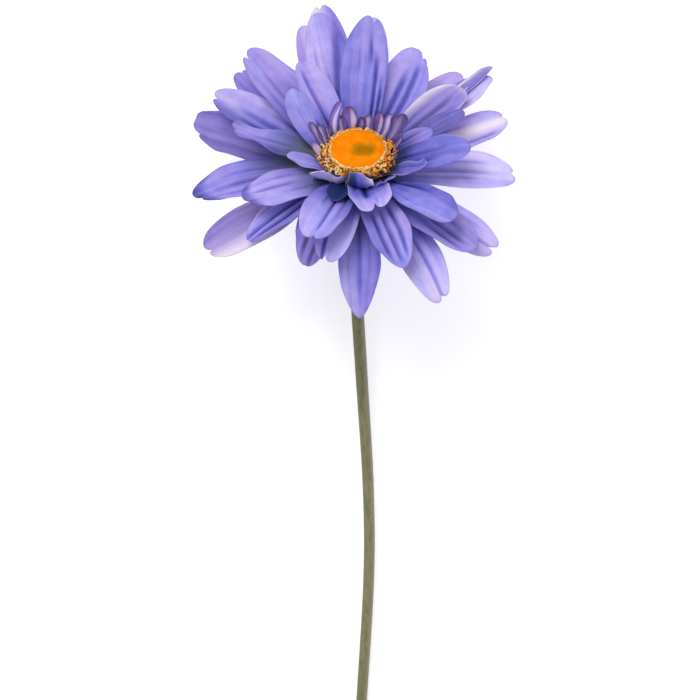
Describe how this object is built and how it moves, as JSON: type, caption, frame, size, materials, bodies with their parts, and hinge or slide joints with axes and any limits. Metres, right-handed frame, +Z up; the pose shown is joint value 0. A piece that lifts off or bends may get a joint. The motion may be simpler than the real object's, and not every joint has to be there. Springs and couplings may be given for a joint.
{
  "type": "gerbera daisy stem",
  "caption": "Cut gerbera daisy lying down: a long bare stalk, a green calyx and one bloom of layered blue-violet petals round an orange button.",
  "frame": {"origin": "middle of the flower's box at the surface it lies on", "axes": "+Y along the stalk toward the bloom, +Z up from the surface"},
  "size_m": [0.1097, 0.4005, 0.0729],
  "materials": {
    "stalk": "olive green, covered in fine pale down",
    "bracts": "soft green, downy, darker at the tips",
    "petals": "blue-violet to lavender, satin, with fine lengthwise veins and furrows",
    "florets": "dusky purple with a paler middle and darker edges",
    "curls": "cream yellow to orange, crinkled",
    "button": "orange, velvety, with a small olive patch in the middle"
  },
  "bodies": {
    "root": {"stem": "stalk", "calyx": "bracts", "ray_petals": "petals", "inner_florets": "florets", "stamen_curls": "curls", "button": "button"}
  },
  "joints": []
}
